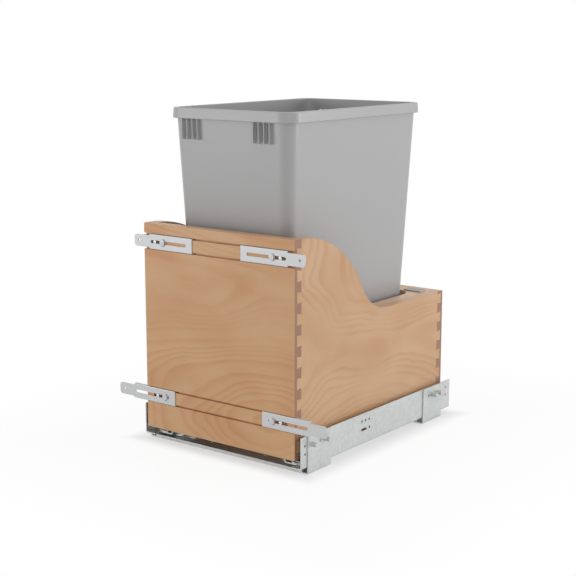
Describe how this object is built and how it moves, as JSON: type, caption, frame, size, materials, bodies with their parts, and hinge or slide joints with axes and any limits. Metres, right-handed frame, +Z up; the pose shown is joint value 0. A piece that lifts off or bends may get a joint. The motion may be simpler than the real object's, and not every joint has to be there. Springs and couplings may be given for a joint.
{
  "type": "pull out trash cabinet",
  "caption": "Dovetailed wooden pull-out box on telescopic ball slides in a steel floor frame, holding a tall tapered bin, with adjustable plates that carry a cabinet door.",
  "frame": {"origin": "on the floor, in the middle of the unit's width and depth with the drawer closed", "axes": "+X to the right seen from the front, -Y out of the cabinet, the way the drawer opens, +Z up"},
  "size_m": [0.42, 0.4388, 0.5401],
  "materials": {
    "maple_wood": "clear satin lacquer over warm maple",
    "white_zinc_steel": "white zinc plated sheet, matt",
    "grey_plastic": "fine satin moulded grey plastic",
    "black_plastic": "matt moulded black plastic",
    "slide_steel": "zinc plated rolled steel",
    "ball_steel": "polished",
    "galvanised_steel": "galvanised sheet with faint spangle",
    "bright_zinc": "bright zinc plated",
    "satin_metal": "satin, bare"
  },
  "bodies": {
    "base_frame": {"front_floor_bracket": "galvanised_steel", "rear_floor_bracket": "galvanised_steel", "left_side_channel": "galvanised_steel", "right_side_channel": "galvanised_steel", "left_outer_slide_member": "slide_steel", "right_outer_slide_member": "slide_steel", "left_soft_close_housing": "black_plastic", "right_soft_close_housing": "black_plastic", "left_soft_close_catch": "black_plastic", "right_soft_close_catch": "black_plastic"},
    "drawer": {"front_panel": "maple_wood", "left_side_board": "maple_wood", "right_side_board": "maple_wood", "back_panel": "maple_wood", "bottom_panel": "maple_wood", "deck_panel": "maple_wood", "deck_cleats": "maple_wood", "blank_plate": "satin_metal", "bracket_clamp_screws": "bright_zinc", "bracket_guide_discs": "bright_zinc", "runner_screws": "bright_zinc", "soft_close_trigger_pins": "bright_zinc", "left_inner_slide_member": "slide_steel", "right_inner_slide_member": "slide_steel"},
    "bin": {"trash_bin": "grey_plastic"},
    "left_middle_member": {"left_middle_slide_member": "slide_steel"},
    "left_outer_cage": {"left_outer_ball_cage": "slide_steel", "left_outer_balls": "ball_steel"},
    "left_inner_cage": {"left_inner_ball_cage": "slide_steel", "left_inner_balls": "ball_steel"},
    "left_upper_bracket": {"left_upper_door_bracket": "white_zinc_steel"},
    "left_lower_bracket": {"left_lower_door_bracket": "white_zinc_steel"},
    "right_middle_member": {"right_middle_slide_member": "slide_steel"},
    "right_outer_cage": {"right_outer_ball_cage": "slide_steel", "right_outer_balls": "ball_steel"},
    "right_inner_cage": {"right_inner_ball_cage": "slide_steel", "right_inner_balls": "ball_steel"},
    "right_upper_bracket": {"right_upper_door_bracket": "white_zinc_steel"},
    "right_lower_bracket": {"right_lower_door_bracket": "white_zinc_steel"}
  },
  "joints": [
    {"name": "drawer_slide", "type": "slide", "parent": "base_frame", "child": "drawer", "axis": [0, -1, 0], "range_m": [0, 0.4]},
    {"name": "left_middle_member_travel", "type": "slide", "parent": "base_frame", "child": "left_middle_member", "axis": [0, -1, 0], "range_m": [0, 0.2]},
    {"name": "left_outer_cage_travel", "type": "slide", "parent": "base_frame", "child": "left_outer_cage", "axis": [0, -1, 0], "range_m": [0, 0.1]},
    {"name": "left_inner_cage_travel", "type": "slide", "parent": "base_frame", "child": "left_inner_cage", "axis": [0, -1, 0], "range_m": [0, 0.3]},
    {"name": "left_upper_bracket_adjust", "type": "slide", "parent": "drawer", "child": "left_upper_bracket", "axis": [-1, 0, 0], "range_m": [-0.007, 0.045]},
    {"name": "left_lower_bracket_adjust", "type": "slide", "parent": "drawer", "child": "left_lower_bracket", "axis": [-1, 0, 0], "range_m": [-0.047, 0.0055]},
    {"name": "right_middle_member_travel", "type": "slide", "parent": "base_frame", "child": "right_middle_member", "axis": [0, -1, 0], "range_m": [0, 0.2]},
    {"name": "right_outer_cage_travel", "type": "slide", "parent": "base_frame", "child": "right_outer_cage", "axis": [0, -1, 0], "range_m": [0, 0.1]},
    {"name": "right_inner_cage_travel", "type": "slide", "parent": "base_frame", "child": "right_inner_cage", "axis": [0, -1, 0], "range_m": [0, 0.3]},
    {"name": "right_upper_bracket_adjust", "type": "slide", "parent": "drawer", "child": "right_upper_bracket", "axis": [1, 0, 0], "range_m": [-0.007, 0.045]},
    {"name": "right_lower_bracket_adjust", "type": "slide", "parent": "drawer", "child": "right_lower_bracket", "axis": [1, 0, 0], "range_m": [-0.047, 0.0055]},
    {"name": "bin_lift", "type": "slide", "parent": "drawer", "child": "bin", "axis": [0, 0, 1], "range_m": [0, 0.5]}
  ],
  "couplings": [
    {"joint": "left_middle_member_travel", "follows": "drawer_slide", "ratio": 0.5},
    {"joint": "left_outer_cage_travel", "follows": "drawer_slide", "ratio": 0.25},
    {"joint": "left_inner_cage_travel", "follows": "drawer_slide", "ratio": 0.75},
    {"joint": "right_middle_member_travel", "follows": "drawer_slide", "ratio": 0.5},
    {"joint": "right_outer_cage_travel", "follows": "drawer_slide", "ratio": 0.25},
    {"joint": "right_inner_cage_travel", "follows": "drawer_slide", "ratio": 0.75}
  ]
}
